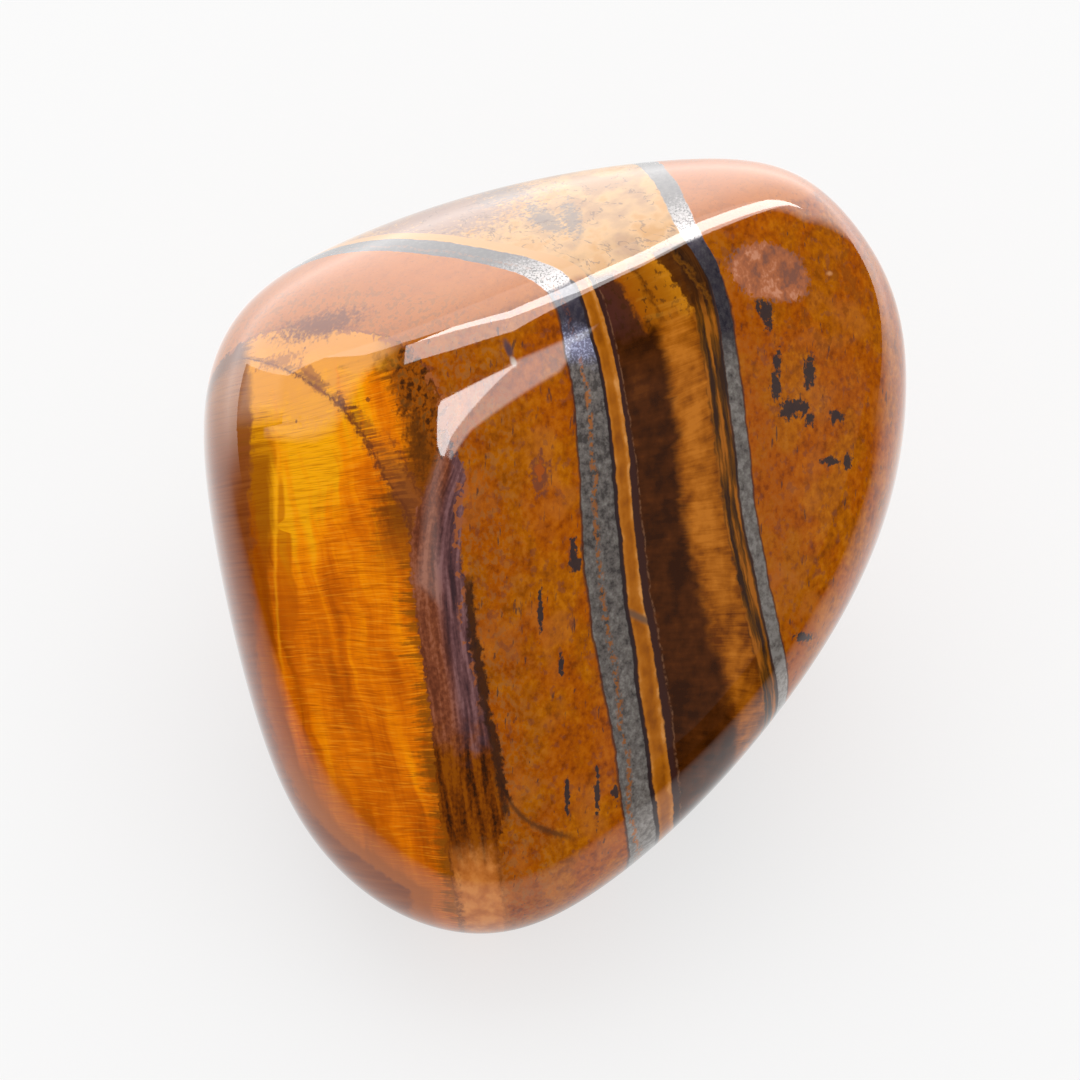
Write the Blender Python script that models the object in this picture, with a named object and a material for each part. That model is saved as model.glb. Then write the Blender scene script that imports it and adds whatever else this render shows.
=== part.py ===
"""Tumbled tiger's eye stone: one solid pebble with worn flat faces.

A broken lump of banded stone has flat faces. Tumbling domes each face a little and rounds the
edges between them. So the pebble here is the soft overlap of slightly domed faces, all placed
round one point inside it, its heart. It is one closed solid that rests on a flat worn spot.
"""
import math
from typing import NamedTuple

import bmesh
import bpy
import numpy as np

MM = 0.001                # metres in a millimetre


class Face(NamedTuple):
    """One worn face: the way it looks out from the heart, how far off it is, and its dome."""
    bearing: float        # degrees round +Z, 0 along +X and 90 along +Y
    rise: float           # degrees above the horizon
    reach: float          # metres from the heart
    crown: float          # metres, the radius of the face's dome


# Display side: the faces that look up and towards -Y.
TOP_FLAT = Face(118, 66, 10.95 * MM, 120 * MM)      # broad flat behind the ridge
STRIP = Face(293, 64, 8.35 * MM, 90 * MM)           # narrow step in front of the ridge
FRONT = Face(294, 48, 7.15 * MM, 45 * MM)           # large face that shows the banding
LEFT_FLAT = Face(241, 39, 8.85 * MM, 80 * MM)       # face of the silky golden layer
SHOULDER = Face(193, 58, 11.35 * MM, 60 * MM)       # where the top turns down to the left

# Girdle: the sides, in order round the stone from +X.
GIRDLE = [
    Face(32, 30, 15.50 * MM, 40 * MM),              # back right shoulder
    Face(99, 31, 13.90 * MM, 90 * MM),              # back edge
    Face(118, 28, 12.70 * MM, 90 * MM),             # long slope down to the left
    Face(165, 19, 13.70 * MM, 60 * MM),             # left shoulder
    Face(191, -6, 11.15 * MM, 90 * MM),             # left side
    Face(219, -22, 13.25 * MM, 65 * MM),            # lower left side
    Face(264, -28, 13.85 * MM, 35 * MM),            # blunt tip at -Y
    Face(310, -22, 11.05 * MM, 75 * MM),            # long straight side
    Face(330, -23, 9.70 * MM, 75 * MM),             # same side, further round
    Face(346, -2, 11.50 * MM, 60 * MM),             # right side
]

# Underside behind the resting spot.
UNDERSIDE = [
    Face(42, -27, 11.45 * MM, 50 * MM),
    Face(90, -17, 10.15 * MM, 60 * MM),
    Face(145, -26, 11.65 * MM, 50 * MM),
]
BASE_REACH = 8.60 * MM    # heart to the plane that the stone stands on
BASE_WEAR = 0.05 * MM     # depth worn off there, which leaves the flat resting spot

# How far the overlap of two faces is rounded, from the crispest edge to the softest.
RIDGE_ROUND = 0.30 * MM
FRONT_ROUND = 0.45 * MM
LEFT_ROUND = 0.75 * MM
GIRDLE_ROUND = 0.80 * MM

# Shallow shell-shaped chip in the strip, near the right shoulder.
CHIP_BEARING = 35.0       # degrees, towards the middle of the chip
CHIP_RISE = 45.0          # degrees
CHIP_RADIUS = 7.0 * MM    # radius of the hollow's curve
CHIP_DEPTH = 0.12 * MM

GRID = 28                 # squares along each side of the cube that becomes the pebble
START_REACH = 18.0 * MM   # outside the stone in every direction
STEPS = 14                # steps in to the surface along each ray

STONE_COLOUR = (0.47, 0.17, 0.03, 1.0)   # golden brown, linear
STONE_ROUGHNESS = 0.12


def direction(bearing, rise):
    """Unit vector for a bearing and a rise in degrees."""
    b, r = math.radians(bearing), math.radians(rise)
    return np.array([math.cos(b) * math.cos(r), math.sin(b) * math.cos(r), math.sin(r)])


def beyond(points, face):
    """How far each point lies outside a domed face; below zero is inside."""
    dome_centre = direction(face.bearing, face.rise) * (face.reach - face.crown)
    return np.linalg.norm(points - dome_centre, axis=1) - face.crown


def soft_max(values, rounding):
    """Largest value, with the switch from one to the next rounded."""
    stack = np.stack(values) / rounding
    top = stack.max(axis=0)
    return rounding * (top + np.log(np.exp(stack - top).sum(axis=0)))


def outside(points):
    """How far each point lies outside all the worn faces together; below zero is inside."""
    ridge = soft_max([beyond(points, TOP_FLAT), beyond(points, STRIP)], RIDGE_ROUND)
    front = soft_max([ridge, beyond(points, FRONT)], FRONT_ROUND)
    display = soft_max([front, beyond(points, LEFT_FLAT)], LEFT_ROUND)
    base = -points[:, 2] - BASE_REACH
    sides = [beyond(points, face) for face in [SHOULDER, *GIRDLE, *UNDERSIDE]]
    return soft_max([display, base, *sides], GIRDLE_ROUND)


def worn_reach(rays):
    """Distance from the heart to the worn faces along each unit ray, by Newton's steps."""
    reach = np.full(len(rays), START_REACH)
    nudge = 0.0001 * MM
    for _ in range(STEPS):
        here = outside(rays * reach[:, None])
        before = outside(rays * (reach - nudge)[:, None])
        reach -= here / np.maximum((here - before) / nudge, 0.2)
    return reach


def outward(point):
    """Unit normal of the worn faces at one point on them."""
    nudges = np.eye(3) * 0.001 * MM
    slope = outside(point + nudges) - outside(point - nudges)
    return slope / np.linalg.norm(slope)


def chipped_reach(rays):
    """Distance along each ray, cut short where it meets the ball that scoops the chip out."""
    reach = worn_reach(rays)
    toward = direction(CHIP_BEARING, CHIP_RISE)
    middle = toward * worn_reach(toward[None, :])[0]
    ball = middle + outward(middle) * (CHIP_RADIUS - CHIP_DEPTH)
    along = rays @ ball
    half_chord = along ** 2 - ball @ ball + CHIP_RADIUS ** 2      # squared
    near_side = along - np.sqrt(np.maximum(half_chord, 0.0))
    meets = (half_chord > 0.0) & (along > 0.0)
    return np.where(meets, np.minimum(reach, near_side), reach)


def pebble_mesh():
    """Closed quad mesh: a gridded cube whose points are drawn in to the stone's surface."""
    bm = bmesh.new()
    bmesh.ops.create_cube(bm, size=2.0)
    bmesh.ops.subdivide_edges(bm, edges=bm.edges[:], cuts=GRID - 1, use_grid_fill=True)
    cube = np.array([v.co for v in bm.verts])
    rays = np.tan(cube * math.pi / 4)        # even angles, so even squares on the stone
    rays /= np.linalg.norm(rays, axis=1)[:, None]
    points = rays * chipped_reach(rays)[:, None]
    floor = points[:, 2].min() + BASE_WEAR
    points[:, 2] = np.maximum(points[:, 2], floor)
    middle = (points.min(axis=0) + points.max(axis=0)) / 2
    points -= (middle[0], middle[1], floor)  # origin under the middle, on the resting spot
    for v, place in zip(bm.verts, points):
        v.co = place
    bmesh.ops.recalc_face_normals(bm, faces=bm.faces[:])
    mesh = bpy.data.meshes.new("tigers_eye_stone")
    bm.to_mesh(mesh)
    bm.free()
    mesh.shade_smooth()
    return mesh


def stone_material():
    """Polished golden-brown quartz."""
    material = bpy.data.materials.new("polished_tigers_eye")
    material.use_nodes = True
    shader = material.node_tree.nodes["Principled BSDF"]
    shader.inputs["Base Color"].default_value = STONE_COLOUR
    shader.inputs["Roughness"].default_value = STONE_ROUGHNESS
    shader.inputs["Metallic"].default_value = 0.0
    return material


for old in list(bpy.data.objects):
    bpy.data.objects.remove(old)

stone = bpy.data.objects.new("tigers_eye_stone", pebble_mesh())
stone.data.materials.append(stone_material())
bpy.context.scene.collection.objects.link(stone)
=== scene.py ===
"""Tumbled tiger's eye stone on a pale table, in soft studio light."""
import math

import bpy
import numpy as np
from mathutils import Matrix, Vector, noise


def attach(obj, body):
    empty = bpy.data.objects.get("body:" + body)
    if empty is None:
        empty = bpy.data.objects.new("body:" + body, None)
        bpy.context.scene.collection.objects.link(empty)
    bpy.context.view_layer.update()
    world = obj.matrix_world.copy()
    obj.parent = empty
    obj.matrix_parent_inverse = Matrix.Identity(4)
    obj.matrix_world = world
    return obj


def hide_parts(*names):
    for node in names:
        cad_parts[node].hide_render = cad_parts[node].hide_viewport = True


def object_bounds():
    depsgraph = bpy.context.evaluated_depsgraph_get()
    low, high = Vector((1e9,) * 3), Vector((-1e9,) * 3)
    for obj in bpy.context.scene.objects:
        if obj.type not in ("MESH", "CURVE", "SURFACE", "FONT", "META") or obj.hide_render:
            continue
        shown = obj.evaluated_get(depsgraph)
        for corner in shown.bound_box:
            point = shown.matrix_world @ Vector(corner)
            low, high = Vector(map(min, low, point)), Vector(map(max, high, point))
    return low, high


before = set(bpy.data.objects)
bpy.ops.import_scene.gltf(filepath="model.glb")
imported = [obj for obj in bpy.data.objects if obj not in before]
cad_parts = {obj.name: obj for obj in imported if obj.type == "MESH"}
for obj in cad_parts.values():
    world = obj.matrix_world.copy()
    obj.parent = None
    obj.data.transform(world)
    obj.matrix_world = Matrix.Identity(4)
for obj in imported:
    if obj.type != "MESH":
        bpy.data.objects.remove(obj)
cad_low, cad_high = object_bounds()

# ---------------------------------------------------------------------------------------------
# The table and the studio light.
# A matt white board lies under the stone in even white light, with one broad soft lamp behind.
# White cards hang over, behind and beside the stone, and only its polish shows them.
MM = 0.001
HEART = Vector((-0.208, 0.540, 8.549)) * MM     # the point inside the stone that all is placed from
BOARD_SIZE, BOARD_GAP = 3.0, 0.02 * MM          # the gap keeps it clear of the stone's flat base
BOARD_COLOUR = (0.25, 0.25, 0.25, 1.0)          # it glows too, and looks white by both together
BOARD_ROUGHNESS, BOARD_GLOW = 0.8, 0.68
WHITE, BLACK = (1, 1, 1, 1), (0, 0, 0, 1)
CARD_HEIGHT = 0.40                              # of the cards over the heart, in metres


class Recipe:
    """A node tree, with short words for the few kinds of node that glow and colour need here."""

    def __init__(self, tree):
        self.tree = tree

    def put(self, kind, *values, **settings):
        """Add a node; values go to its sockets in order: a number, a colour, or a link."""
        node = self.tree.nodes.new("ShaderNode" + kind)
        for name, setting in settings.items():
            setattr(node, name, setting)
        open_sockets = [socket for socket in node.inputs if socket.enabled]
        for socket, value in zip(open_sockets, values):
            self.wire(socket, value)
        return node

    def wire(self, socket, value):
        """Link a socket, or give it a number or a colour; None leaves it as it is."""
        if isinstance(value, bpy.types.NodeSocket):
            self.tree.links.new(value, socket)
        elif value is not None:
            socket.default_value = value

    def reckon(self, operation, *values):
        return self.put("Math", *values, operation=operation).outputs[0]

    def less(self, value, other):
        return self.reckon("SUBTRACT", value, other)

    def times(self, value, factor):
        return self.reckon("MULTIPLY", value, factor)

    def plus(self, value, share, other):
        """A value with a share of another one added: value + share x other."""
        return self.reckon("MULTIPLY_ADD", other, share, value)

    def point(self, x, y, z):
        return self.put("CombineXYZ", x, y, z).outputs[0]

    def step_up(self, value, low, high):
        """0 below low and 1 above high, with a smooth climb; it steps down where low is over high."""
        ends = (low, high) if low <= high else (high, low, 1.0, 0.0)
        return self.put("MapRange", value, *ends, interpolation_type="SMOOTHSTEP").outputs["Result"]

    def all_of(self, *masks):
        product = masks[0]
        for mask in masks[1:]:
            product = self.times(product, mask)
        return product

    def any_of(self, *masks):
        strongest = masks[0]
        for mask in masks[1:]:
            strongest = self.reckon("MAXIMUM", strongest, mask)
        return strongest

    def paint(self, under, over, *masks):
        """The colour over laid on the colour under, as strongly as all the masks multiplied."""
        node = self.tree.nodes.new("ShaderNodeMix")
        node.data_type = "RGBA"
        for index, value in ((0, self.all_of(*masks)), (6, under), (7, over)):
            if isinstance(value, tuple):
                value = (*value, 1.0)
            self.wire(node.inputs[index], value)
        return node.outputs[2]

    def ramp(self, value, stops):
        """The colour at a value, blended between (value, colour) stops in order."""
        node = self.put("ValToRGB", value)
        elements = node.color_ramp.elements
        for index, (at, tint) in enumerate(stops):
            stop = elements[index] if index < 2 else elements.new(at)
            stop.position, stop.color = at, (*tint, 1.0)
        return node.outputs["Color"]

    def cloud(self, place, stretch, detail=2.0, shift=(0, 0, 0), output="Fac"):
        """Cloudy noise, with so many clouds in a millimetre each way."""
        spread = self.put("VectorMath", place, stretch, shift, operation="MULTIPLY_ADD")
        return self.put("TexNoise", spread.outputs[0], 1.0, detail, noise_dimensions="3D").outputs[output]

    def course(self, value, points):
        """A drawn curve: the height at a value, from (value, height) points in order."""
        low, high = points[0][0], points[-1][0]
        least, most = min(p[1] for p in points), max(p[1] for p in points)
        part_way = self.put("MapRange", value, low, high).outputs["Result"]
        node = self.put("FloatCurve", 1.0, part_way)
        curve = node.mapping.curves[0]
        for index, (at, height) in enumerate(points):
            knot = ((at - low) / (high - low), (height - least) / (most - least))
            if index in (0, len(points) - 1):
                curve.points[0 if index == 0 else -1].location = knot
            else:
                curve.points.new(*knot)
        node.mapping.update()
        return self.put("MapRange", node.outputs[0], 0.0, 1.0, least, most).outputs["Result"]


def toward(bearing, rise):
    """Unit vector: bearing in degrees, 0 along +X and 90 along +Y, and rise above the horizon."""
    b, r = math.radians(bearing), math.radians(rise)
    return Vector((math.cos(b) * math.cos(r), math.sin(b) * math.cos(r), math.sin(r)))


def light_card(name, corners, radiance, fade=0.0):
    """White card with its corners at (right, back, up) in card heights; its light fades at the rim."""
    bpy.ops.object.select_all(action="DESELECT")
    bpy.ops.mesh.primitive_circle_add(vertices=len(corners), radius=1.0, fill_type="NGON")
    card = bpy.context.object
    card.name = name
    for point, corner in zip(card.data.vertices, corners):
        point.co = HEART + Vector(corner) * CARD_HEIGHT
    card.data.update()
    if fade:
        bpy.ops.object.mode_set(mode="EDIT")
        bpy.ops.mesh.select_all(action="SELECT")
        bpy.ops.mesh.inset(thickness=fade * CARD_HEIGHT)
        bpy.ops.object.mode_set(mode="OBJECT")
    strength = card.data.attributes.new("strength", "FLOAT", "POINT")
    for point in card.data.vertices:
        on_rim = fade and point.index < len(corners)
        strength.data[point.index].value = 0.0 if on_rim else radiance
    glow = bpy.data.materials.new(name)
    glow.use_nodes = True
    shader = glow.node_tree.nodes["Principled BSDF"]
    shader.inputs["Base Color"].default_value = BLACK
    shader.inputs["Specular IOR Level"].default_value = 0
    shader.inputs["Emission Color"].default_value = WHITE
    read = glow.node_tree.nodes.new("ShaderNodeAttribute")
    read.attribute_name = "strength"
    glow.node_tree.links.new(read.outputs["Fac"], shader.inputs["Emission Strength"])
    glow.cycles.emission_sampling = "NONE"      # the polish finds the cards by its own reflections
    card.data.materials.append(glow)
    card.visible_camera = card.visible_diffuse = card.visible_shadow = False
    return card


bpy.ops.object.select_all(action="DESELECT")
bpy.ops.mesh.primitive_plane_add(size=BOARD_SIZE, location=(0, 0, -BOARD_GAP))
table = bpy.context.object
table.name = "table"
board = bpy.data.materials.new("white_board")
board.use_nodes = True
board_shader = board.node_tree.nodes["Principled BSDF"]
board_shader.inputs["Base Color"].default_value = BOARD_COLOUR
board_shader.inputs["Roughness"].default_value = BOARD_ROUGHNESS
board_shader.inputs["Specular IOR Level"].default_value = 0.0
board_shader.inputs["Emission Color"].default_value = WHITE
board_shader.inputs["Emission Strength"].default_value = BOARD_GLOW
board.cycles.emission_sampling = "NONE"
table.data.materials.append(board)

# The cards over, behind and left of the stone: they show as the bright line on the ridge, the
# pale strip below it, and the haze on the sloping top and on the left flank.
light_card("card_over", [(-.47, .06, 1), (-.06, -.05, 1), (.20, -.09, 1), (.31, .03, 1), (.37, .12, 1),
                         (.41, .30, 1), (.66, .56, 1), (1.1, 1.0, 1), (.64, .64, 1), (.38, .42, 1),
                         (.35, .17, 1), (.27, .08, 1), (.11, .08, 1), (-.20, .30, 1), (-.60, .52, 1)], 6.0)
light_card("card_hot", [(-.52, .48, 1), (-.20, .30, 1), (.11, .08, 1), (.27, .08, 1),
                        (.35, .17, 1), (.38, .42, 1), (.64, .64, 1), (1.1, 1.0, 1), (1.6, 1.2, 1),
                        (.66, 1.2, 1), (.22, .85, 1), (.22, .47, 1), (.15, .27, 1), (.05, .22, 1),
                        (-.25, .44, 1)], 16.0)
light_card("card_high", [(-.66, .67, 1), (-.25, .44, 1), (.05, .22, 1), (.15, .27, 1), (.22, .47, 1),
                         (.22, .85, 1), (.66, 1.2, 1), (-1.6, 1.2, 1), (-1.1, .84, 1)], 4.5)
light_card("card_behind", [(-2.9, .90, 1.6), (2.15, .90, 1.6), (2.45, 2.06, -.75),
                           (-2.9, 2.06, -.75)], 3.6, .45)
light_card("card_left_over", [(-.55, .56, 1.01), (-.80, .34, 1.01), (-.92, .10, 1.01),
                              (-1.06, -.22, 1.01), (-1.34, -.44, 1.01), (-1.68, -.50, 1.01),
                              (-2.0, -.40, 1.01), (-2.5, -.2, 1.01), (-3.3, .1, 1.01),
                              (-3.3, 1.8, 1.01), (-1.0, 1.8, 1.01)], 1.2, .24)
light_card("card_left", [(-2.25, .0, 1.25), (-2.25, 2.5, 1.25), (-2.25, 2.8, -.2),
                         (-2.25, .7, -.2)], 1.7, .38)

# The cards in front and to the right: they show as the bright hook on the display side with its
# faint tail, the soft band beside it, and the haze on the right flank.
light_card("card_front_bright", [(.28, -.25, 1), (-.06, -.352, 1), (-.085, -.379, 1), (-.10, -.47, 1),
                                 (-.115, -.56, 1), (-.10, -.61, 1), (-.07, -.61, 1), (0, -.51, 1)], 12.0)
light_card("card_front_faint", [(-.10, -.54, 1.01), (-.19, -.66, 1.01), (-.33, -.82, 1.01),
                                (-.56, -1.12, 1.01), (-.90, -1.5, 1.01), (-.50, -1.5, 1.01),
                                (-.02, -.58, 1.01)], 1.2, .07)
light_card("card_front_soft", [(.45, -.18, 1.01), (.26, -.24, 1.01), (-.03, -.50, 1.01),
                               (-.09, -.61, 1.01), (-.02, -.63, 1.01), (.13, -.485, 1.01),
                               (.415, -.30, 1.01)], 4.6, .014)
light_card("card_right", [(.40, -.22, 1), (4.4, -.20, 1), (4.4, -4.5, 1), (2.2, -4.5, 1),
                          (.80, -1.30, 1), (.52, -.59, 1)], 0.13, .16)

# The white board as the polish shows it. Its light differs from place to place: it is dim in the
# stone's own shade, brightest far out towards the cards behind, and dies out on the other sides.
NEAR_AHEAD, NEAR_ASIDE = 0.85, 1.3              # near the stone: before or behind it, and beside it
FAR_AHEAD, FAR_BEHIND = 0.0, 3.6                # far from it
NEAR_TO_FAR = (0.016, 0.085)                    # metres out, where near turns into far
AHEAD_TO_BEHIND = (-0.10, 0.55)                 # how squarely behind, where ahead turns into behind
SHADE, SHADE_REACH = 0.65, (0.011, 0.020)       # what the shade leaves, and where it ends, in metres

low_card = light_card("card_low", [(-5, -5, -.02), (5, -5, -.02), (5, 1.75, -.02), (-5, 1.75, -.02)], 1.0)
low_tree = low_card.active_material.node_tree
low_glow = Recipe(low_tree)
on_board = low_glow.put("TexCoord").outputs["Object"]
distance = low_glow.put("VectorMath", on_board, operation="LENGTH").outputs["Value"]
way_out = low_glow.put("VectorMath", on_board, operation="NORMALIZE").outputs["Vector"]
rightward, backward, _ = low_glow.put("SeparateXYZ", way_out).outputs
aside = low_glow.reckon("ABSOLUTE", rightward)
near_glow = low_glow.put("MapRange", aside, 0.0, 1.0, NEAR_AHEAD, NEAR_ASIDE)
far_glow = low_glow.put("MapRange", backward, *AHEAD_TO_BEHIND, FAR_AHEAD, FAR_BEHIND,
                        interpolation_type="SMOOTHSTEP")
fall_off = low_glow.put("MapRange", distance, *NEAR_TO_FAR, near_glow.outputs["Result"],
                        far_glow.outputs["Result"], interpolation_type="SMOOTHSTEP")
shade = low_glow.put("MapRange", distance, *SHADE_REACH, SHADE, 1.0)
low_glow.wire(low_tree.nodes["Principled BSDF"].inputs["Emission Strength"],
              low_glow.times(fall_off.outputs["Result"], shade.outputs["Result"]))

LAMP_WAY, LAMP_REACH = toward(90, 50), 0.5      # behind and above the stone, in metres
LAMP_SIZE, LAMP_STRENGTH = 0.7, 1.1
lamp_data = bpy.data.lights.new("broad_lamp", "AREA")
lamp_data.size = LAMP_SIZE
lamp_data.energy = LAMP_STRENGTH * math.pi * lamp_data.size ** 2
lamp = bpy.data.objects.new("broad_lamp", lamp_data)
lamp.matrix_world = Matrix.Translation(HEART + LAMP_WAY * LAMP_REACH) @ \
    LAMP_WAY.to_track_quat("Z", "Y").to_matrix().to_4x4()
lamp.visible_glossy = lamp.visible_camera = False
bpy.context.scene.collection.objects.link(lamp)

ROOM_TO_EYE, ROOM_TO_BOARD, ROOM_IN_POLISH = 0.93, 0.80, 0.02
room = bpy.data.worlds.new("studio")
room.use_nodes = True
bpy.context.scene.world = room
backdrop = room.node_tree.nodes["Background"]
room_light = Recipe(room.node_tree)
ray = room_light.put("LightPath").outputs
to_stage = room_light.put("Mix", ray["Is Glossy Ray"], ROOM_TO_BOARD, ROOM_IN_POLISH).outputs["Result"]
to_all = room_light.put("Mix", ray["Is Camera Ray"], to_stage, ROOM_TO_EYE).outputs["Result"]
room_light.wire(backdrop.inputs["Strength"], to_all)
backdrop.inputs["Color"].default_value = WHITE
bpy.context.scene.view_settings.view_transform = "Standard"

DISPLAY_RISE = 57.0                             # the display side looks up so steeply, in degrees
CAMERA_REACH, FIELD_WIDTH = 260.0 * MM, 36.72 * MM      # the camera sees so wide a field at the heart
SIDE_STEP, UP_STEP = -0.306 * MM, 0.17 * MM     # the stone sits a little right of and below the middle
CLOSEST, FURTHEST = 0.01, 10.0
view_out = toward(270, DISPLAY_RISE)
view_up = toward(90, 90 - DISPLAY_RISE)
camera_data = bpy.data.cameras.new("camera")
camera_data.sensor_width = 36.0
camera_data.lens = camera_data.sensor_width * CAMERA_REACH / FIELD_WIDTH
camera_data.clip_start, camera_data.clip_end = CLOSEST, FURTHEST
camera = bpy.data.objects.new("camera", camera_data)
camera.matrix_world = Matrix.Translation(
    HEART + view_out * CAMERA_REACH + Vector((SIDE_STEP, 0, 0)) + view_up * UP_STEP
) @ Matrix((Vector((1, 0, 0)), view_up, view_out)).transposed().to_4x4()
bpy.context.scene.collection.objects.link(camera)
bpy.context.scene.camera = camera

# ---------------------------------------------------------------------------------------------
# The stone.
# A natural pebble of silky quartz, jasper and grey iron ore grown together. Long tumbling with
# grit wore its broken faces to low domes that meet in round ridges, and fine grit polished them.


class Face:
    """One worn face: where it looks (degrees), how far off the heart it is, and its dome, in mm."""

    def __init__(self, bearing, rise, reach, crown):
        self.out = np.array(toward(bearing, rise))
        self.reach, self.crown = reach, crown

    def beyond(self, points):
        """How far points are outside the dome, in mm; less than 0 inside it."""
        return np.linalg.norm(points - self.out * (self.reach - self.crown), axis=1) - self.crown


TOP_FLAT = Face(118, 66, 10.95, 120)
STRIP = Face(293, 64, 8.35, 90)
FRONT = Face(294, 48, 7.15, 45)
LEFT_FLAT = Face(241, 39, 8.85, 80)
SHOULDER = Face(193, 58, 11.35, 60)
GIRDLE = [
    Face(32, 30, 15.50, 40), Face(99, 31, 13.90, 90), Face(118, 28, 12.70, 90),
    Face(165, 19, 13.70, 60), Face(191, -6, 11.15, 90), Face(219, -22, 13.25, 65),
    Face(264, -28, 13.85, 35), Face(310, -22, 11.05, 75), Face(330, -23, 9.70, 75),
    Face(346, -2, 11.50, 60),
]
UNDERSIDE = [Face(42, -27, 11.45, 50), Face(90, -17, 10.15, 60), Face(145, -26, 11.65, 50)]
BASE_REACH = 8.60                               # from the heart down to the base
BASE_WEAR = 0.05                                # the stone's lowest part is cut off flat so high
RIDGE_ROUND, FRONT_ROUND, LEFT_ROUND, GIRDLE_ROUND = 0.30, 0.45, 0.75, 0.80
CUTS = 100                                      # across each side of the cube that it is made from

# A chip near the right end of the ridge, six small pits, and the faint swell that tumbling leaves.
CHIP_TOWARD = np.array(toward(35, 45))
CHIP_DEPTH, CHIP_LIP, CHIP_SPAN = 0.12, 0.16, 3.0       # how deep, how wide its edge, how far at most
CHIP_OUTLINE = [(-160, 1.06), (-134, 1.05), (-106, .96), (-94, 1.06), (-69, .82), (-28, .98), (-9, 1.31),
                (4, 1.36), (23, .93), (65, .70), (100, .94), (122, 1.20), (144, 1.56), (173, 1.33)]
FLAKE_HEIGHT, FLAKES_PER_MM = 0.022, 2.2
FLAKE_SMOOTHNESS, FLAKE_SHRINK, FLAKE_LEVELS = 0.7, 2.0, 4
PIT_DEPTH, PIT_REACH = 0.035, 0.22
JASPER_PIT, GOLD_PIT = (9.4, 9.1, 3.8), (-8.4, 4.1, 6.2)        # across, along and out, see the colours
PITS = [JASPER_PIT, (6.3, 5.7, 5.5), GOLD_PIT, (-3.8, -9.8, 5.0), (2.1, -1.6, 6.7), (-9.9, -3.0, 2.0)]
SWELL_HEIGHT, SWELLS_PER_MM = 0.0016, 0.45


def soft_max(values, rounding):
    """The greatest of the values, rounded off where two of them are nearly the same."""
    stack = np.stack(values) / rounding
    top = stack.max(axis=0)
    return rounding * (top + np.log(np.exp(stack - top).sum(axis=0)))


def outside(points):
    """How far points are outside the worn stone, in mm; less than 0 inside it."""
    ridge = soft_max([TOP_FLAT.beyond(points), STRIP.beyond(points)], RIDGE_ROUND)
    front = soft_max([ridge, FRONT.beyond(points)], FRONT_ROUND)
    display = soft_max([front, LEFT_FLAT.beyond(points)], LEFT_ROUND)
    flanks = [face.beyond(points) for face in [SHOULDER, *GIRDLE, *UNDERSIDE]]
    return soft_max([display, -points[:, 2] - BASE_REACH, *flanks], GIRDLE_ROUND)


def worn_reach(rays):
    """How far out the worn surface is on each ray from the heart, by Newton's steps from outside."""
    start, rounds, nudge, least_slope = 18.0, 14, 0.0001, 0.2
    reach = np.full(len(rays), start)
    for _ in range(rounds):
        here = outside(rays * reach[:, None])
        before = outside(rays * (reach - nudge)[:, None])
        reach -= here / np.maximum((here - before) / nudge, least_slope)
    return reach


def chipped_reach(rays):
    """The same with the flaked chip, the round pits and the faint swell."""
    reach = worn_reach(rays)
    points = rays * reach[:, None]
    off = points - CHIP_TOWARD * worn_reach(CHIP_TOWARD[None, :])[0]
    rightward, upward = off[:, 0], off @ np.array(view_up)
    edge = np.interp(np.degrees(np.arctan2(upward, rightward)), *zip(*CHIP_OUTLINE), period=360)
    inside = np.clip((edge - np.hypot(rightward, upward)) / CHIP_LIP, 0, 1)
    inside = inside * (np.linalg.norm(off, axis=1) < CHIP_SPAN)
    chipped = inside > 0
    flakes = np.array([noise.fractal(Vector(p * FLAKES_PER_MM), FLAKE_SMOOTHNESS, FLAKE_SHRINK, FLAKE_LEVELS)
                       for p in points[chipped]])
    reach[chipped] -= inside[chipped] * (CHIP_DEPTH + FLAKE_HEIGHT * flakes)
    display = points @ np.column_stack([(1, 0, 0), np.array(view_up), np.array(view_out)])
    for pit in PITS:
        reach -= PIT_DEPTH * np.exp(-((display - pit) ** 2).sum(axis=1) / PIT_REACH ** 2)
    swell = np.array([noise.noise(Vector(p * SWELLS_PER_MM)) for p in points])
    return reach + SWELL_HEIGHT * swell


# A cube is cut into small squares and blown up to a ball, and each corner moves to the surface.
bpy.ops.mesh.primitive_cube_add(size=2.0, location=(0, 0, 0))
stone = bpy.context.object
stone.name = "polished_stone"
bpy.ops.object.mode_set(mode="EDIT")
bpy.ops.mesh.select_all(action="SELECT")
bpy.ops.mesh.subdivide(number_cuts=CUTS)
bpy.ops.object.mode_set(mode="OBJECT")
cube = np.empty(len(stone.data.vertices) * 3)
stone.data.vertices.foreach_get("co", cube)
rays = np.tan(cube.reshape(-1, 3) * math.pi / 4)        # so the squares come out nearly even
rays /= np.linalg.norm(rays, axis=1)[:, None]
points = rays * chipped_reach(rays)[:, None]
base = points[:, 2].min() + BASE_WEAR
points[:, 2] = np.maximum(points[:, 2], base)
low, high = points.min(axis=0), points.max(axis=0)
cad_middle = (np.array(cad_low) + np.array(cad_high)) / 2 / MM
shift = cad_middle - (low + high) / 2
shift[2] = cad_low[2] / MM - base
points = (points + shift) * MM
stone.data.vertices.foreach_set("co", points.ravel())
stone.data.update()
bpy.ops.object.mode_set(mode="EDIT")
bpy.ops.mesh.select_all(action="SELECT")
bpy.ops.mesh.normals_make_consistent(inside=False)
bpy.ops.object.mode_set(mode="OBJECT")
bpy.ops.object.shade_smooth()

# The stone's inside, as the polish shows it: sheets of silky gold quartz, maroon silk, orange
# jasper and two veins of grey iron ore, which cross the whole stone and lean as they go in. The
# pattern is worked out in millimetres round the heart: across, along and out of the display side.
QUARTZ_IOR = 1.55
POLISH_ROUGHNESS, STONE_ROUGHNESS = 0.03, 0.45

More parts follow.
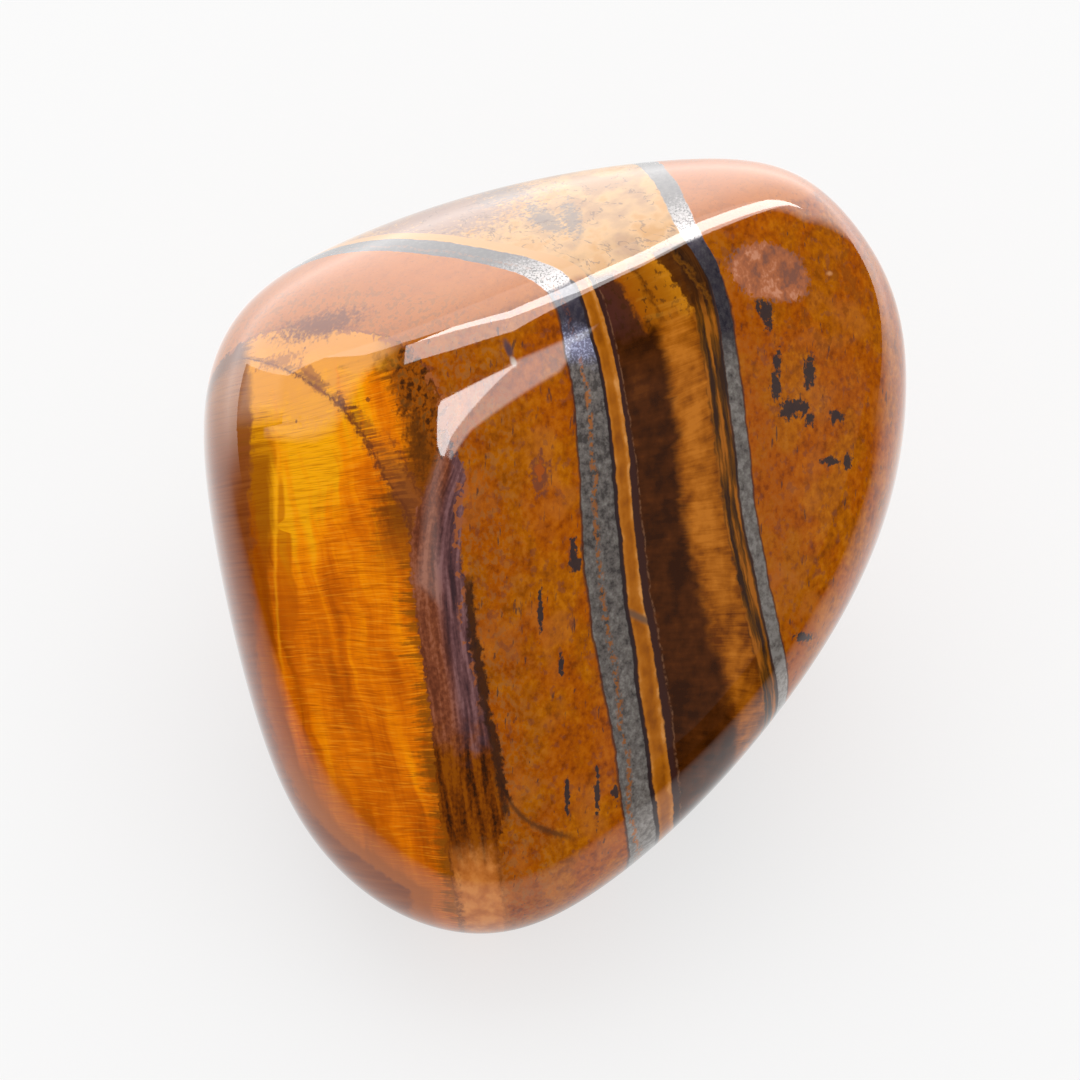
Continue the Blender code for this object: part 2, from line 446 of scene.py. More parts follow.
quartz = bpy.data.materials.new("polished_tigers_eye")
quartz.use_nodes = True
stone.data.materials.append(quartz)
shader = quartz.node_tree.nodes["Principled BSDF"]
shader.inputs["IOR"].default_value = QUARTZ_IOR
shader.inputs["Specular IOR Level"].default_value = 0.0
shader.inputs["Coat Roughness"].default_value = POLISH_ROUGHNESS
shader.inputs["Coat IOR"].default_value = QUARTZ_IOR
mix = Recipe(quartz.node_tree)


def mask_group(name, inputs):
    """A node group with named inputs and one output, Mask; gives its recipe and its ends."""
    group = bpy.data.node_groups.new(name, "ShaderNodeTree")
    for label, kind in inputs:
        group.interface.new_socket(name=label, in_out="INPUT", socket_type=kind)
    group.interface.new_socket(name="Mask", in_out="OUTPUT", socket_type="NodeSocketFloat")
    start = group.nodes.new("NodeGroupInput").outputs
    end = group.nodes.new("NodeGroupOutput").inputs["Mask"]
    return group, Recipe(group), start, end


# A layer between two edges.
ribbon, steps, given, mask = mask_group("ribbon", [(label, "NodeSocketFloat") for label in (
    "Where", "From", "To", "Softness")])
rise = steps.put("MapRange", given["Where"], steps.less(given["From"], given["Softness"]),
                 steps.reckon("ADD", given["From"], given["Softness"]), interpolation_type="SMOOTHSTEP")
fall = steps.put("MapRange", given["Where"], steps.less(given["To"], given["Softness"]),
                 steps.reckon("ADD", given["To"], given["Softness"]), 1.0, 0.0,
                 interpolation_type="SMOOTHSTEP")
steps.wire(mask, steps.times(rise.outputs[0], fall.outputs[0]))

# A lens-shaped patch: a unit ball of a stretched and shifted place, with an edge that noise frays.
patch, steps, given, mask = mask_group("patch", [
    ("Place", "NodeSocketVector"), ("Stretch", "NodeSocketVector"), ("Shift", "NodeSocketVector"),
    ("Fray", "NodeSocketFloat"), ("Softness", "NodeSocketFloat")])
lens = steps.put("VectorMath", given["Place"], given["Stretch"], given["Shift"], operation="MULTIPLY_ADD")
far = steps.put("VectorMath", lens.outputs[0], operation="LENGTH").outputs["Value"]
frayed = steps.reckon("ADD", far, given["Fray"])
edge = steps.put("MapRange", frayed, steps.less(1.0, given["Softness"]),
                 steps.reckon("ADD", 1.0, given["Softness"]), 1.0, 0.0, interpolation_type="SMOOTHSTEP")
steps.wire(mask, edge.outputs[0])


def between(where, low, high, softness):
    """Mask of a layer from low to high."""
    node = mix.put("Group", node_tree=ribbon)
    for socket, value in zip(node.inputs, (where, low, high, softness)):
        mix.wire(socket, value)
    return node.outputs["Mask"]


turned_places = {}


def spot(centre, reach, turn=0, fray=0.0, softness=0.12, depth=1.5):
    """Mask of a patch: centre (across, along, out), reach across and along in mm, turn in degrees."""
    turn_back = (0, 0, -math.radians(turn))
    if turn and turn not in turned_places:
        turned_places[turn] = mix.put("VectorRotate", place, None, turn_back,
                                      rotation_type="EULER_XYZ").outputs[0]
    middle = Matrix.Rotation(turn_back[2], 3, "Z") @ Vector(centre)
    stretch = tuple(1 / r for r in (*reach, depth))
    step = tuple(-m * s for m, s in zip(middle, stretch))
    node = mix.put("Group", node_tree=patch)
    for socket, value in zip(node.inputs, (turned_places.get(turn, place), stretch, step, fray, softness)):
        mix.wire(socket, value)
    return node.outputs["Mask"]


# Where a point is: across (right), along (up the display side) and out (off the display side).
lean_back = Matrix.Rotation(-math.radians(90 - DISPLAY_RISE), 4, "X")
place = mix.put("Mapping", mix.put("TexCoord").outputs["Object"], tuple(lean_back @ HEART / MM * -1),
                tuple(lean_back.to_euler()), (1 / MM,) * 3, vector_type="POINT").outputs[0]
across, along, out = mix.put("SeparateXYZ", place).outputs

# Noise that several layers share: slow bends, frayed edges, mottling and fine grain.
slow_cloud = mix.cloud(place, (.7, .5, .7), 2, output="Color")
bends = mix.put("SeparateXYZ", mix.put(
    "VectorMath", slow_cloud, (.5, .5, .5), operation="SUBTRACT").outputs[0]).outputs
fray = mix.less(mix.cloud(place, (4, 3, 4), 4), .5)
bead = mix.less(mix.cloud(place, (9, 6, 9), 3, (4, 9, 2)), .5)
ragged = mix.plus(mix.times(fray, 1.8), 2.2, bead)
mottle = mix.cloud(place, (2.2, 1.6, 2.2), 5, (3, 7, 1))
blots = mix.cloud(place, (5.5, 4.0, 5.5), 4, (1, 4, 4))
grain = mix.cloud(place, (15, 13, 15), 3, (9, 2, 5))
streaks = mix.cloud(place, (8, 1.3, 6), 4, (2, 5, 8))

# The sheets lean back to the left, more and more towards the top. to_one is 0 at the gold's edge
# and 1 at vein one; to_two is 0 at vein one and 1 at vein two.
DEPTH_OF_DISPLAY = 6.8
lean = mix.plus(.05, 1.35, mix.step_up(along, -4, 8))
deep = mix.less(DEPTH_OF_DISPLAY, out)
leant = mix.plus(across, deep, lean)
gold_edge = mix.course(along, [(-13, -2.7), (-10, -3.3), (-8.4, -3.55), (-5.1, -3.93), (-1.8, -4.45),
                               (.8, -4.77), (3.5, -4.4), (7, -5.2), (13, -5.2)])
vein_one = mix.plus(1.80, along, mix.plus(-.137, .0014, along))
vein_two = mix.course(along, [(-12, 11.5), (-4.9, 8.85), (-1.8, 7.81), (1.5, 6.98), (3.2, 6.77),
                              (6.2, 6.38), (8.2, 6.12), (9.4, 5.70), (10.2, 5.26), (11, 5.0), (13, 5.0)])
past_gold = mix.reckon("ADD", mix.less(leant, gold_edge), mix.plus(mix.times(fray, .35), .5, bead))
past_one = mix.reckon("ADD", mix.less(leant, vein_one), mix.plus(mix.times(fray, .13), .25, bends[0]))
past_two = mix.reckon("ADD", mix.less(mix.plus(across, .28, deep), vein_two),
                      mix.plus(mix.times(fray, .10), .2, bends[1]))
to_one = mix.reckon("DIVIDE", mix.less(leant, gold_edge), mix.less(vein_one, gold_edge))
to_two = mix.reckon("DIVIDE", past_one, mix.less(past_one, past_two))
beyond_ridge = mix.less(along, mix.plus(8.70, .385, across))
on_top = mix.step_up(mix.plus(beyond_ridge, .6, bends[2]), -.45, -.10)

# Orange jasper, all through; mottled red and ochre, with plum blots, dark specks and short streaks.
INK, PLUM, SALMON, PALE_JASPER = (.034, .028, .030), (.17, .052, .030), (.50, .155, .025), (.56, .175, .03)
SPECK, RED_STAIN = (.16, .045, .010), (.19, .045, .006)
# A stain near the silk, and painted shade beside vein two.
SILK_STAIN, PAINTED_VEIN_SHADE = (.26, .105, .035), (.20, .060, .022)
jasper_tone = mix.plus(mix.times(mottle, .45), .55, blots)
red_jasper = mix.ramp(jasper_tone, [
    (.36, (.22, .043, .002)), (.44, (.32, .066, .002)), (.52, (.39, .086, .001)), (.62, (.46, .115, .003))])
ochre_jasper = mix.ramp(jasper_tone, [
    (.36, (.25, .062, .002)), (.44, (.34, .086, .002)), (.52, (.41, .110, .001)), (.62, (.50, .150, .004))])
colour = mix.paint(red_jasper, ochre_jasper, mix.step_up(mix.plus(bends[0], .25, bead), -.08, .10))
colour = mix.paint(colour, SALMON, mix.step_up(bends[1], .06, .18), .35)
colour = mix.paint(colour, PALE_JASPER, on_top, .7)
near_silk = mix.step_up(past_one, -2.2, -4.2)
colour = mix.paint(colour, SILK_STAIN, near_silk, mix.step_up(blots, .50, .60), .5)
plum_blots = mix.step_up(mix.cloud(place, (3.6, 2.8, 3.6), 5, (5, 1, 9)), .57, .66)
weaker_on_top = mix.step_up(on_top, 1.5, .0)
colour = mix.paint(colour, PLUM, plum_blots, weaker_on_top, .42)
colour = mix.paint(colour, INK, mix.step_up(streaks, .64, .72), weaker_on_top, .7)
colour = mix.paint(colour, SPECK, mix.step_up(grain, .58, .72), .25)
colour = mix.paint(colour, SALMON, mix.step_up(grain, .42, .30), .20)
# Painted shade: the jasper darkens beside vein two.
colour = mix.paint(colour, PAINTED_VEIN_SHADE, mix.step_up(past_two, .2, .5), mix.step_up(past_two, 2.4, 1.2),
                   mix.step_up(jasper_tone, .49, .59), .25)
colour = mix.paint(colour, RED_STAIN, spot((9.3, 8.6, 3.5), (1.5, 3.2), 0, ragged, .5, 4),
                   mix.step_up(mottle, .50, .60), .6)

# Ink spots in the jasper, each with its centre, reach and turn.
INK_SPOTS = [
    ((7.2, 7.8, 5.0), (.22, .60), 14), ((7.55, 5.3, 5.0), (.16, .45), 0), ((7.6, 6.1, 5.0), (.12, .40), 0),
    ((8.7, 5.8, 4.5), (.20, .60), 0), ((7.9, 4.5, 4.9), (.24, .28), 0), ((8.3, 4.6, 4.7), (.26, .34), 35),
    ((8.7, 4.2, 4.6), (.16, .20), 0), ((9.6, 4.3, 4.1), (.24, .24), 0), ((9.4, 2.8, 4.2), (.30, .14), 0),
    ((10.0, 2.8, 3.8), (.13, .22), 0), ((8.5, -3.1, 3.7), (.30, .17), 0), ((.8, -.3, 7.1), (.12, .58), 0),
    ((.85, -.65, 7.1), (.18, .26), 0), ((-.3, -2.1, 7.1), (.09, .80), 0), ((.4, -4.0, 6.7), (.09, .34), 0),
    ((1.6, -8.2, 5.4), (.08, .90), 0), ((.6, -8.3, 5.6), (.08, .60), 0), ((2.2, -8.2, 5.2), (.10, .30), 0),
]
ink = mix.any_of(*[spot(centre, reach, turn, ragged, .25) for centre, reach, turn in INK_SPOTS])
colour = mix.paint(colour, INK, ink, .95)

# A plum ring with a red heart, two flecks below the ridge, and a brown arc near the blunt tip.
RING_HEART, BLUE_FLECK, BONE_FLECK = (.40, .085, .010), (.035, .04, .075), (.60, .52, .46)
ARC = (.10, .035, .012)
colour = mix.paint(colour, PLUM, spot((-.3, 2.3, 7.5), (.28, .62), 0, ragged, .3), .8)
colour = mix.paint(colour, RING_HEART, spot((-.32, 2.45, 7.5), (.14, .30), 0, ragged, .3), .8)
colour = mix.paint(colour, BLUE_FLECK, spot((-1.35, 6.5, 7.3), (.12, .30), 20, fray, .5), .8)
colour = mix.paint(colour, BONE_FLECK, spot((-1.18, 6.05, 7.4), (.09, .17), 20, fray, .5), .8)
above_arc = mix.less(along, mix.course(across, [
    (-2.0, -7.2), (-1.5, -8.1), (-1.0, -8.95), (-.1, -9.5), (.6, -9.7), (1.2, -9.75)]))
colour = mix.paint(colour, ARC, between(mix.plus(above_arc, .10, ragged), -.10, .12, .10),
                   between(across, -1.9, .7, .3), .8)

# Gold silk, left of its edge: fine level fibres over a painted sheen that dims downwards and to the right.
GOLD_THREAD, PAINTED_THREAD_HIGHLIGHT, DARK_THREAD = (.36, .060, .001), (1.0, .40, .02), (.16, .030, .002)
fibre_slope = mix.course(along, [(-13, .10), (-8, .06), (0, -.09), (3, -.21), (6, -.36), (13, -.40)])
level = mix.plus(along, fibre_slope, across)
waver = mix.cloud(place, (.30, .30, .30), 1, (7, 1, 3))
fibre_place = mix.point(mix.times(across, .6), mix.plus(level, .5, waver), mix.times(out, .25))
fibres = mix.cloud(fibre_place, (.8, 6, 1), 6, (1, 1, 1))
hairs = mix.cloud(fibre_place, (2.2, 22, 1), 4, (4, 2, 1))
dark_hairs = mix.cloud(fibre_place, (1.6, 14, 1), 2, (3, 8, 1))
slant = mix.point(mix.plus(mix.plus(across, .8, bends[1]), .22, along), along, out)
flames = mix.cloud(slant, (1.3, .18, .3), 1, (2, 3, 1))
sparks = mix.cloud(slant, (3.6, .30, .3), 2, (6, 3, 1))
# The painted sheen: the silk's shimmer painted into its colour, with flame-like streaks.
sheen_edge = mix.plus(mix.plus(across, 4, bends[0]), -.35, along)
painted_sheen = mix.all_of(mix.step_up(along, -3.0, 2.0), mix.step_up(sheen_edge, -6.2, -8.2))
painted_sheen = mix.plus(mix.plus(.36, .36, painted_sheen), .65, mix.less(flames, .5))
painted_sheen = mix.plus(painted_sheen, .45, mix.less(sparks, .5))
painted_sheen = mix.plus(painted_sheen, -.03, mix.step_up(along, -.5, -3.5))
painted_sheen = mix.plus(painted_sheen, -.10, mix.step_up(along, -5.5, -9.5))
gold = mix.ramp(painted_sheen, [(.08, (.38, .070, .001)), (.24, (.62, .125, .001)), (.38, (.82, .19, .001)),
                        (.52, (.98, .28, .001)), (.70, (1.0, .42, .004))])
gold = mix.paint(gold, GOLD_THREAD, mix.step_up(fibres, .48, .70), .32)
gold = mix.paint(gold, GOLD_THREAD, mix.step_up(hairs, .49, .68), .42)
# Painted highlights: bright threads along the hairs.
gold = mix.paint(gold, PAINTED_THREAD_HIGHLIGHT, mix.step_up(hairs, .46, .34), .32)
gold = mix.paint(gold, DARK_THREAD, mix.step_up(dark_hairs, .60, .74), .35)

# The gold's left rim: umber and tawny bands, murk round the flank, a flame of painted sheen and a dark lens.
UMBER, TAWNY, PAINTED_FLAME_SHEEN, LENS = (.25, .046, .001), (.40, .110, .012), (1.0, .40, .008), (.46, .090, .001)
rim = mix.course(along, [(-11.6, -3.9), (-10.6, -5.4), (-9.5, -6.8), (-8, -7.9), (-6.5, -8.5), (-5, -8.9),
                         (-2, -9.15), (1.5, -9.2), (5, -9.2), (9, -9.6)])
off_rim = mix.less(across, mix.plus(rim, .4, bends[2]))
rim_top = mix.step_up(mix.plus(along, 5.0, fibres), 7.4, 4.9)
gold = mix.paint(gold, UMBER, mix.step_up(mix.plus(off_rim, .5, sparks), .40, .0), rim_top, .80)
gold = mix.paint(gold, TAWNY, mix.step_up(off_rim, 1.7, .1), mix.step_up(along, -6, -8.8), .65)
murk = mix.ramp(fibres, [(.36, (.26, .068, .016)), (.50, (.22, .052, .012)), (.66, (.17, .038, .010))])
gold = mix.paint(gold, murk, mix.step_up(mix.plus(off_rim, .5, fray), -.60, -.85), .85)
# A flame of painted sheen: a bright streak of colour along the rim.
gold = mix.paint(gold, PAINTED_FLAME_SHEEN, between(off_rim, .05, .13, .07), rim_top, mix.step_up(along, -5, -3), .5)
lens_edge = mix.course(along, [(-4.5, .0), (-3.2, .6), (-1.6, .85), (-.8, .68), (.35, .66), (.62, .14),
                               (.9, .42), (1.4, .40), (2.6, .05)])
gold = mix.paint(gold, LENS, between(off_rim, .16, lens_edge, .06),
                 mix.step_up(mix.plus(along, 2, sparks), -3.4, -1.0), mix.step_up(along, 2.6, 1.8), .6)

# The gold's right edge, frayed by the fibres' ends and dark, with a burnt patch below the ridge.
FRINGE, DARK_FRINGE = (.22, .070, .004), (.14, .035, .004)
edge_depth = mix.plus(past_gold, -2.2, mix.less(fibres, .5))
gold = mix.paint(gold, FRINGE, mix.step_up(mix.plus(edge_depth, 1.2, hairs), -.05, .60),
                 mix.step_up(along, .5, -1), .8)
gold = mix.paint(gold, DARK_FRINGE, mix.step_up(edge_depth, -1.6, -.7), mix.step_up(along, -1.5, 1.0), .85)
burnt = mix.ramp(blots, [
    (.38, (.05, .015, .004)), (.45, (.17, .042, .003)), (.53, (.34, .080, .002)), (.64, (.20, .070, .012))])
gold = mix.paint(gold, burnt, spot((-4.4, 5.0, 7.5), (.60, 2.2), 20, ragged, .4), .95)

# The gold's upper end: peach near the ridge, and a row of brown dashes and twigs across it.
PEACH, BROWN, DASH, SOOT = (.84, .33, .03), (.30, .085, .020), (.15, .038, .012), (.10, .028, .004)
peach_height = mix.plus(mix.plus(along, -.35, across), 2.5, mottle)
gold = mix.paint(gold, PEACH, mix.step_up(peach_height, 8.9, 9.6), mix.step_up(across, -4.6, -6.0),
                 mix.step_up(off_rim, -1.0, -.5), .85)
dash_line = mix.course(along, [(-.5, -4.4), (1.2, -4.8), (1.8, -5.2), (3.5, -6.1), (4.6, -6.9),
                               (5.4, -8.0), (6.0, -9.2), (6.3, -10.5)])
off_line = mix.plus(mix.less(across, dash_line), .22, ragged)
twigs = mix.step_up(mix.cloud(fibre_place, (1.2, 7, 1), 3, (8, 8, 8)), .40, .56)
upper_end = mix.step_up(along, -.6, .2)
gold = mix.paint(gold, BROWN, between(off_line, .0, .85, .22), mix.step_up(along, 4.2, 1.5),
                 mix.step_up(along, -1.6, -.6), .7)
gold = mix.paint(gold, DASH, between(off_line, -.08, .12, .10), mix.step_up(blots, .36, .46), upper_end, .85)
gold = mix.paint(gold, DASH, between(off_line, -.15, .55, .15), twigs, upper_end, .6)
gold = mix.paint(gold, DASH, between(off_line, .80, 1.0, .12), upper_end, mix.step_up(along, 4.2, 3.0),
                 mix.step_up(blots, .42, .52), .75)
gold = mix.paint(gold, PEACH, spot((-7.9, 4.9, 6.0), (1.05, .85), 20, ragged, .35, 3),
                 mix.step_up(off_line, .0, -.2), .6)
for centre, reach, turn in (
        ((-7.3, 7.45, 5.2), (1.1, .22), 0), ((-6.9, 7.4, 5.2), (.45, .24), 0),
        ((-8.9, 6.15, 4.2), (.75, .22), 14), ((-7.9, 5.7, 5.4), (.50, .16), -35),
        ((-7.6, 5.15, 6.0), (.28, .14), -35)):
    gold = mix.paint(gold, BROWN, spot(centre, reach, turn, ragged, .4, 2.5), .65)
for centre, reach, turn in (
        ((-6.9, 4.75, 6.7), (.12, .28), 35), ((-6.55, 4.55, 6.8), (.20, .06), 0),
        ((-6.0, 4.8, 7.3), (.07, .07), 0), (GOLD_PIT, (.06, .06), 0)):
    gold = mix.paint(gold, DASH, spot(centre, reach, turn, ragged, .3), .75)
gold = mix.paint(gold, SOOT, spot((-4.35, 3.4, 7.3), (.36, 1.1), 14, ragged, .5), .8)
colour = mix.paint(colour, gold, mix.step_up(past_gold, .03, -.03))

# Maroon silk between the gold and the jasper, streaked lengthwise, with a near-black seam.
SEAM, BEAD = (.035, .014, .008), (.38, .110, .030)
silk_width = mix.course(along, [(-13, .24), (-10.2, .26), (-8.5, .31), (-5, .27), (-1.8, .25), (1.5, .20),
                                (3.1, .08), (4.2, .0), (13, .0)])
silk_lines = mix.cloud(mix.point(mix.times(to_one, 26), mix.times(along, .35), 0.0), (1, 1, 1), 5)
silk = mix.ramp(mix.plus(silk_lines, .55, bead), [
    (.36, (.13, .034, .015)), (.46, (.18, .048, .021)), (.55, (.24, .068, .028)), (.66, (.32, .105, .052))])
mauve_silk = mix.ramp(mix.plus(silk_lines, .20, bead), [
    (.36, (.050, .024, .028)), (.45, (.095, .040, .042)), (.53, (.15, .064, .065)), (.62, (.24, .115, .115))])
silk = mix.paint(silk, mauve_silk, mix.step_up(mix.reckon("DIVIDE", to_one, silk_width), .30, .62))
deep_silk = mix.ramp(mix.plus(silk_lines, .4, bead), [
    (.34, (.040, .011, .003)), (.44, (.12, .026, .002)), (.52, (.19, .042, .002)), (.62, (.28, .070, .002))])
silk = mix.paint(silk, deep_silk, mix.step_up(mix.plus(along, -3, mottle), -7.3, -8.8))
frayed_one = mix.plus(mix.plus(to_one, .05, fray), .05, bead)
colour = mix.paint(colour, silk, between(frayed_one, -.01, silk_width, .008))
beads = mix.step_up(mix.cloud(place, (3.4, 2.6, 3.4), 2, (2, 2, 8)), .52, .56)
colour = mix.paint(colour, BEAD, beads, between(mix.less(frayed_one, silk_width), -.045, .02, .015),
                   mix.step_up(along, -6.5, -4), .8)
seam_at = mix.plus(silk_width, .06, bends[0])
colour = mix.paint(colour, SEAM, between(mix.less(frayed_one, seam_at), -.015, .035, .012),
                   between(mix.plus(along, 4, mottle), -7.0, 1.0, .6), .9)

# At the blunt tip the silk turns peach.
tip = mix.ramp(mottle, [(.36, (.50, .145, .025)), (.50, (.62, .20, .04)), (.62, (.72, .26, .06))])
colour = mix.paint(colour, tip, mix.step_up(mix.plus(along, .4, ragged), -9.7, -11.0),
                   between(mix.plus(frayed_one, .01, ragged), .01, .24, .04), .9)

# Between the veins: dark brown silk, then golden brown silk, then thin lines beside vein two.
soft_fibres = mix.cloud(fibre_place, (1.3, 5, 1), 4, (5, 1, 4))
honey_tone = mix.plus(mix.plus(mix.times(mottle, .50), .20, hairs), .40, soft_fibres)
honey_tone = mix.plus(honey_tone, -.12, mix.step_up(to_two, .72, .86))
honey_tone = mix.plus(honey_tone, .10, mix.step_up(to_two, .58, .70))
honey_tone = mix.plus(honey_tone, -.10, mix.step_up(along, .5, -4.5))
honey = mix.ramp(honey_tone, [
    (.40, (.13, .030, .002)), (.50, (.25, .066, .003)), (.59, (.37, .105, .005)), (.72, (.52, .165, .014))])
brown_edge = mix.course(along, [(-12, .62), (-2.5, .585), (1, .555), (5.8, .60), (9, .60)])
brown_edge = mix.reckon("ADD", brown_edge, mix.plus(mix.times(bends[1], .1), .16, mix.less(soft_fibres, .5)))
brown_tone = mix.plus(mix.plus(mix.times(mottle, .65), .35, soft_fibres), .35, bends[0])
brown_silk = mix.ramp(brown_tone, [
    (.38, (.034, .008, .001)), (.48, (.055, .013, .001)),
    (.58, (.075, .018, .002)), (.68, (.11, .028, .003))])
silks = mix.paint(brown_silk, honey, mix.step_up(mix.less(to_two, brown_edge), -.045, .045))
thin_lines = mix.cloud(mix.point(mix.times(to_two, 34), mix.times(along, .45), 0.0), (1, 1, 1), 3)
line_mix = mix.ramp(thin_lines, [
    (.40, (.040, .017, .009)), (.48, (.10, .037, .006)), (.54, (.17, .055, .005)), (.62, (.36, .110, .010))])
silks = mix.paint(silks, line_mix, mix.step_up(mix.plus(to_two, .06, fray), .82, .85))

# Just below the ridge these silks are striped more strongly, with dark flecks and painted gleams of sheen.
RIDGE_FLECK, PAINTED_RIDGE_GLEAM = (.05, .018, .006), (.55, .22, .02)
under_ridge = mix.step_up(mix.plus(beyond_ridge, 1.6, mottle), -2.4, -1.4)
sheet = mix.plus(mix.plus(mix.reckon("ADD", to_two, -.50), .10, fray), .06, along)
ridge_silk = mix.ramp(mix.plus(sheet, .05, bead), [
    (.30, (.075, .022, .016)), (.40, (.085, .024, .010)), (.44, (.37, .092, .002)), (.54, (.42, .125, .003)),
    (.585, (.17, .045, .002)), (.61, (.36, .105, .002)), (.70, (.40, .13, .003)), (.78, (.55, .20, .005)),
    (.80, (.05, .013, .002)), (.90, (.035, .010, .004)), (.92, (.18, .06, .005)), (.95, (.03, .010, .004))])
ridge_silk = mix.paint(ridge_silk, RIDGE_FLECK, mix.step_up(blots, .56, .64), .7)
# Painted gleams: sheen painted into the silk's colour along some sheets.
ridge_silk = mix.paint(ridge_silk, PAINTED_RIDGE_GLEAM, mix.step_up(soft_fibres, .50, .66),
                       mix.step_up(sheet, .44, .48), mix.step_up(sheet, .80, .77), .35)
silks = mix.paint(silks, ridge_silk, under_ridge, mix.step_up(past_one, 1.1, 1.3), .85)

# Beyond the ridge they turn cream, with mauve and grey patches and fine cracks.
CREAM_CRACK, MAUVE, DOVE = (.12, .06, .04), (.30, .165, .13), (.20, .16, .15)
cream = mix.ramp(mix.plus(mix.plus(.3, .4, mottle), .8, bends[2]), [
    (.38, (.47, .245, .105)), (.46, (.56, .31, .125)), (.54, (.67, .37, .14)), (.62, (.60, .29, .07))])
cream = mix.paint(cream, MAUVE, spot((-3.6, 11.2, 2.5), (2.8, 1.0), 14, ragged, .5, 6), .85)
cream = mix.paint(cream, DOVE, spot((-.1, 10.9, 3.0), (.75, .30), -35, ragged, .5, 5), .75)
cream = mix.paint(cream, DOVE, spot((.75, 10.9, 3.0), (.28, .60), 14, ragged, .5, 5), .8)
cream = mix.paint(cream, DOVE, spot((-1.6, 11.9, 2.0), (.80, .35), 14, ragged, .5, 5), .6)
flow = mix.point(mix.times(across, .5), mix.plus(mix.plus(along, .28, across), 1.5, bends[1]),
                 mix.times(out, .6))
cracks = mix.reckon("ABSOLUTE", mix.less(mix.cloud(flow, (.9, 1.5, 1), 5, (6, 6, 2)), .5))
cream = mix.paint(cream, CREAM_CRACK, mix.step_up(cracks, .016, .003), mix.step_up(blots, .42, .52), .55)
silks = mix.paint(silks, cream, on_top)

# An ochre ribbon beside vein one, between dark edges, with a small fault across it.
OCHRE_EDGE, EDGE_FLECK = (.045, .016, .012), (.26, .12, .06)
PALE_OCHRE, FAULT = (.66, .34, .12), (.14, .08, .05)
mostly_below = mix.step_up(on_top, 1, .4)
silks = mix.paint(silks, OCHRE_EDGE, mix.step_up(past_one, 1.52, 1.36), mostly_below)
silks = mix.paint(silks, EDGE_FLECK, between(past_one, 1.45, 1.50, .04), mix.step_up(bead, -.12, .12),
                  mostly_below, .6)
ochre_tone = mix.plus(mix.plus(.29, .45, mottle), .10, mix.step_up(past_one, .80, .66))
ochre_tone = mix.plus(ochre_tone, .16, mix.step_up(past_one, .98, 1.14))
ochre = mix.ramp(ochre_tone, [
    (.42, (.24, .062, .003)), (.54, (.38, .110, .004)), (.64, (.46, .150, .012)), (.74, (.66, .28, .07))])
ochre = mix.paint(ochre, PALE_OCHRE, on_top)
off_fault = mix.reckon("ADD", mix.plus(along, .5, past_one), 1.95)
ochre = mix.paint(ochre, FAULT, between(off_fault, -.12, .16, .10), .85)
ochre_end = mix.course(along, [(-12, 1.22), (-6.6, 1.20), (1, 1.16), (5.8, 1.26), (12, 1.0)])
silks = mix.paint(silks, ochre, between(past_one, mix.plus(.63, -.1, on_top), ochre_end, .03))
colour = mix.paint(colour, silks, mix.step_up(to_two, .0, .02), mix.step_up(past_two, -.2, -.3))

# The two veins: grey iron ore, mottled, dark at the edges and dotted with rust. They turn navy
# towards the ridge, where vein one has a painted blue sheen with painted glints, and grey and silver beyond
# it.
ORE_EDGE, NAVY, SLATE = (.025, .018, .02), (.014, .012, .026), (.19, .19, .29)
PAINTED_GLINT, RUST = (.48, .50, .68), (.40, .135, .03)
TOP_GREY, SILVER = (.085, .080, .082), (.46, .43, .42)
paler_two = mix.times(mix.step_up(to_two, .70, .80), .10)
ore_tone = mix.plus(mix.plus(mix.plus(paler_two, -.009, along), .65, blots), .30, grain)
ore = mix.ramp(ore_tone, [
    (.36, (.070, .060, .056)), (.45, (.140, .122, .112)), (.53, (.19, .167, .150)), (.66, (.30, .275, .255))])
rust_line = mix.plus(mix.plus(past_one, .8, bends[1]), .05, ragged)
ore = mix.paint(ore, RUST, between(rust_line, -.33, -.14, .06), mix.step_up(bead, -.04, .04), .85)
ore = mix.paint(ore, NAVY, mix.step_up(along, 5.8, 7.4), mix.step_up(on_top, .9, .1), .8)
# Painted sheen and glints: vein one's blue shimmer painted into its colour.
painted_shimmer = mix.all_of(between(mix.plus(along, .8, fray), 6.2, 7.0, .45), mix.step_up(across, 3.5, 2.5))
ore = mix.paint(ore, SLATE, painted_shimmer, .9)
ore = mix.paint(ore, PAINTED_GLINT, painted_shimmer, mix.step_up(grain, .48, .62), .8)
ore = mix.paint(ore, TOP_GREY, on_top, .75)
silvered = mix.all_of(mix.step_up(mix.plus(beyond_ridge, 1.5, bead), 1.6, .3), on_top)
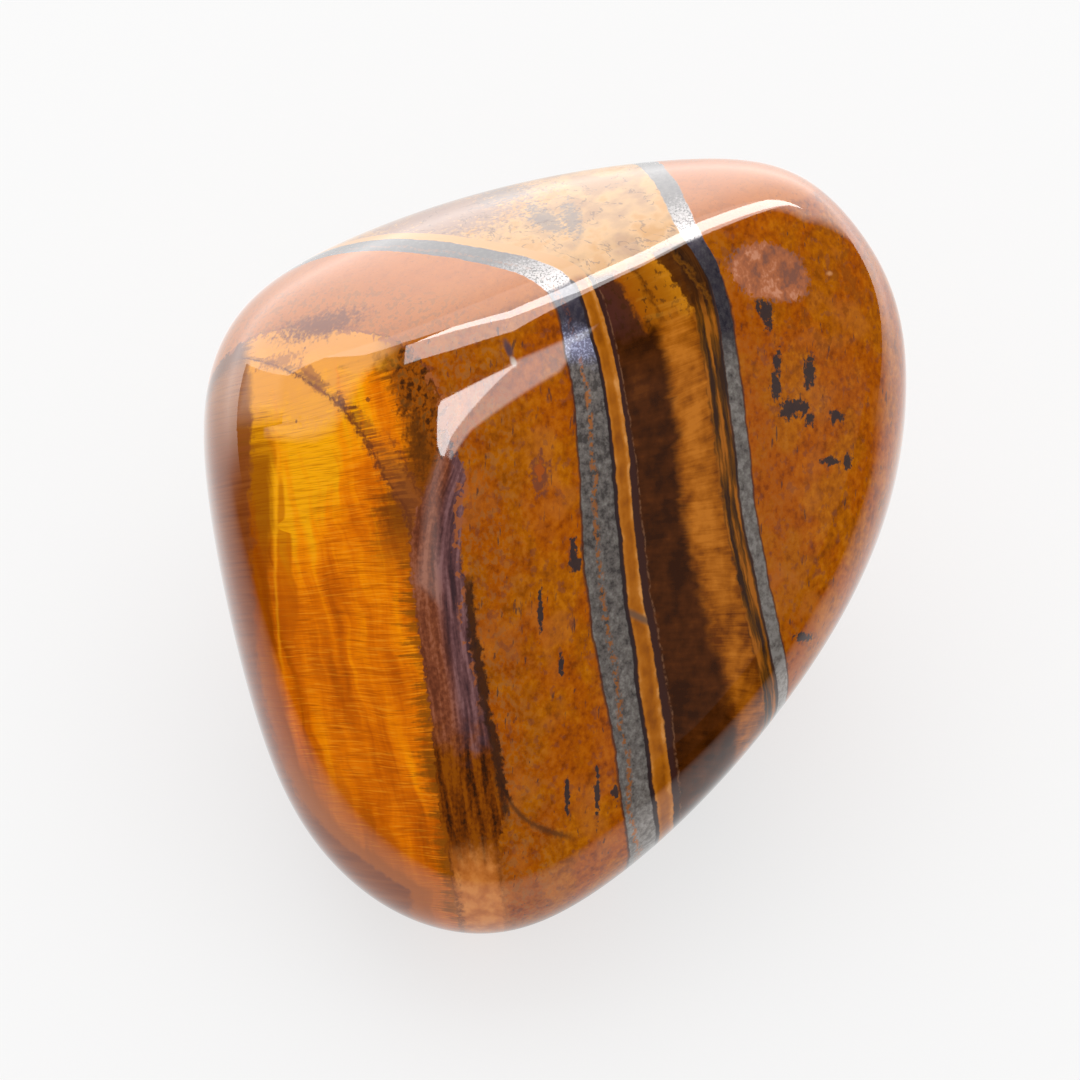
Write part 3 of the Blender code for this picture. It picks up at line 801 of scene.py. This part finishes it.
ore = mix.paint(ore, SILVER, silvered, mix.step_up(grain, .32, .56), .85)
left_of_one = mix.course(along, [(-12, -.52), (-9.5, -.52), (-5, -.62), (1, -.78), (6, -.75), (9, -.55),
                                 (13, -.55)])
in_one = between(past_one, mix.plus(left_of_one, -.1, on_top), mix.plus(.47, .1, on_top), .03)
half_two = mix.plus(.24, .12, mix.step_up(along, 8.4, 9.8))
in_two = between(past_two, mix.times(half_two, -1), half_two, .03)
near_one = between(past_one, mix.less(left_of_one, .08), .58, .05)
near_two = between(past_two, -.33, .30, .04)
colour = mix.paint(colour, ORE_EDGE, mix.any_of(near_one, near_two), mix.step_up(on_top, 1.0, .3), .8)
in_ore = mix.any_of(in_one, in_two)
colour = mix.paint(colour, ore, in_ore)

# A rusty patch at the gold's upper left.
RUST_PATCH = (.20, .050, .018)
colour = mix.paint(colour, RUST_PATCH, spot((-7.6, 7.33, 4.5), (1.3, .36), 14, ragged, .6, 4), .95)

# The chip is matt and paler, with crushed grains; a pit in the jasper shows pale too.
PIT_DUST = (.75, .36, .16)
CHIP_MATTNESS = 0.85                            # the share of the polish that the chip has lost
chip = spot((7.35, 9.12, 4.7), (1.42, .95), -18, mix.times(ragged, .24), .07, 3)
chip_tone = mix.ramp(mix.plus(mottle, .45, bead), [
    (.34, (.22, .090, .060)), (.46, (.34, .115, .055)), (.56, (.42, .140, .060)), (.68, (.56, .24, .14))])
colour = mix.paint(colour, chip_tone, chip)
colour = mix.paint(colour, PIT_DUST, spot(JASPER_PIT, (.09, .07), 0, bead, .7), .6)

ORE_METAL, ORE_SMOOTHER = 0.35, 0.1             # the ore is a little metallic, and less rough
mix.wire(shader.inputs["Base Color"], colour)
mix.wire(shader.inputs["Coat Weight"], mix.plus(1.0, -CHIP_MATTNESS, chip))
mix.wire(shader.inputs["Metallic"], mix.times(in_ore, ORE_METAL))
mix.wire(shader.inputs["Roughness"], mix.plus(STONE_ROUGHNESS, -ORE_SMOOTHER, in_ore))

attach(stone, "root")
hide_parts("tigers_eye_stone")
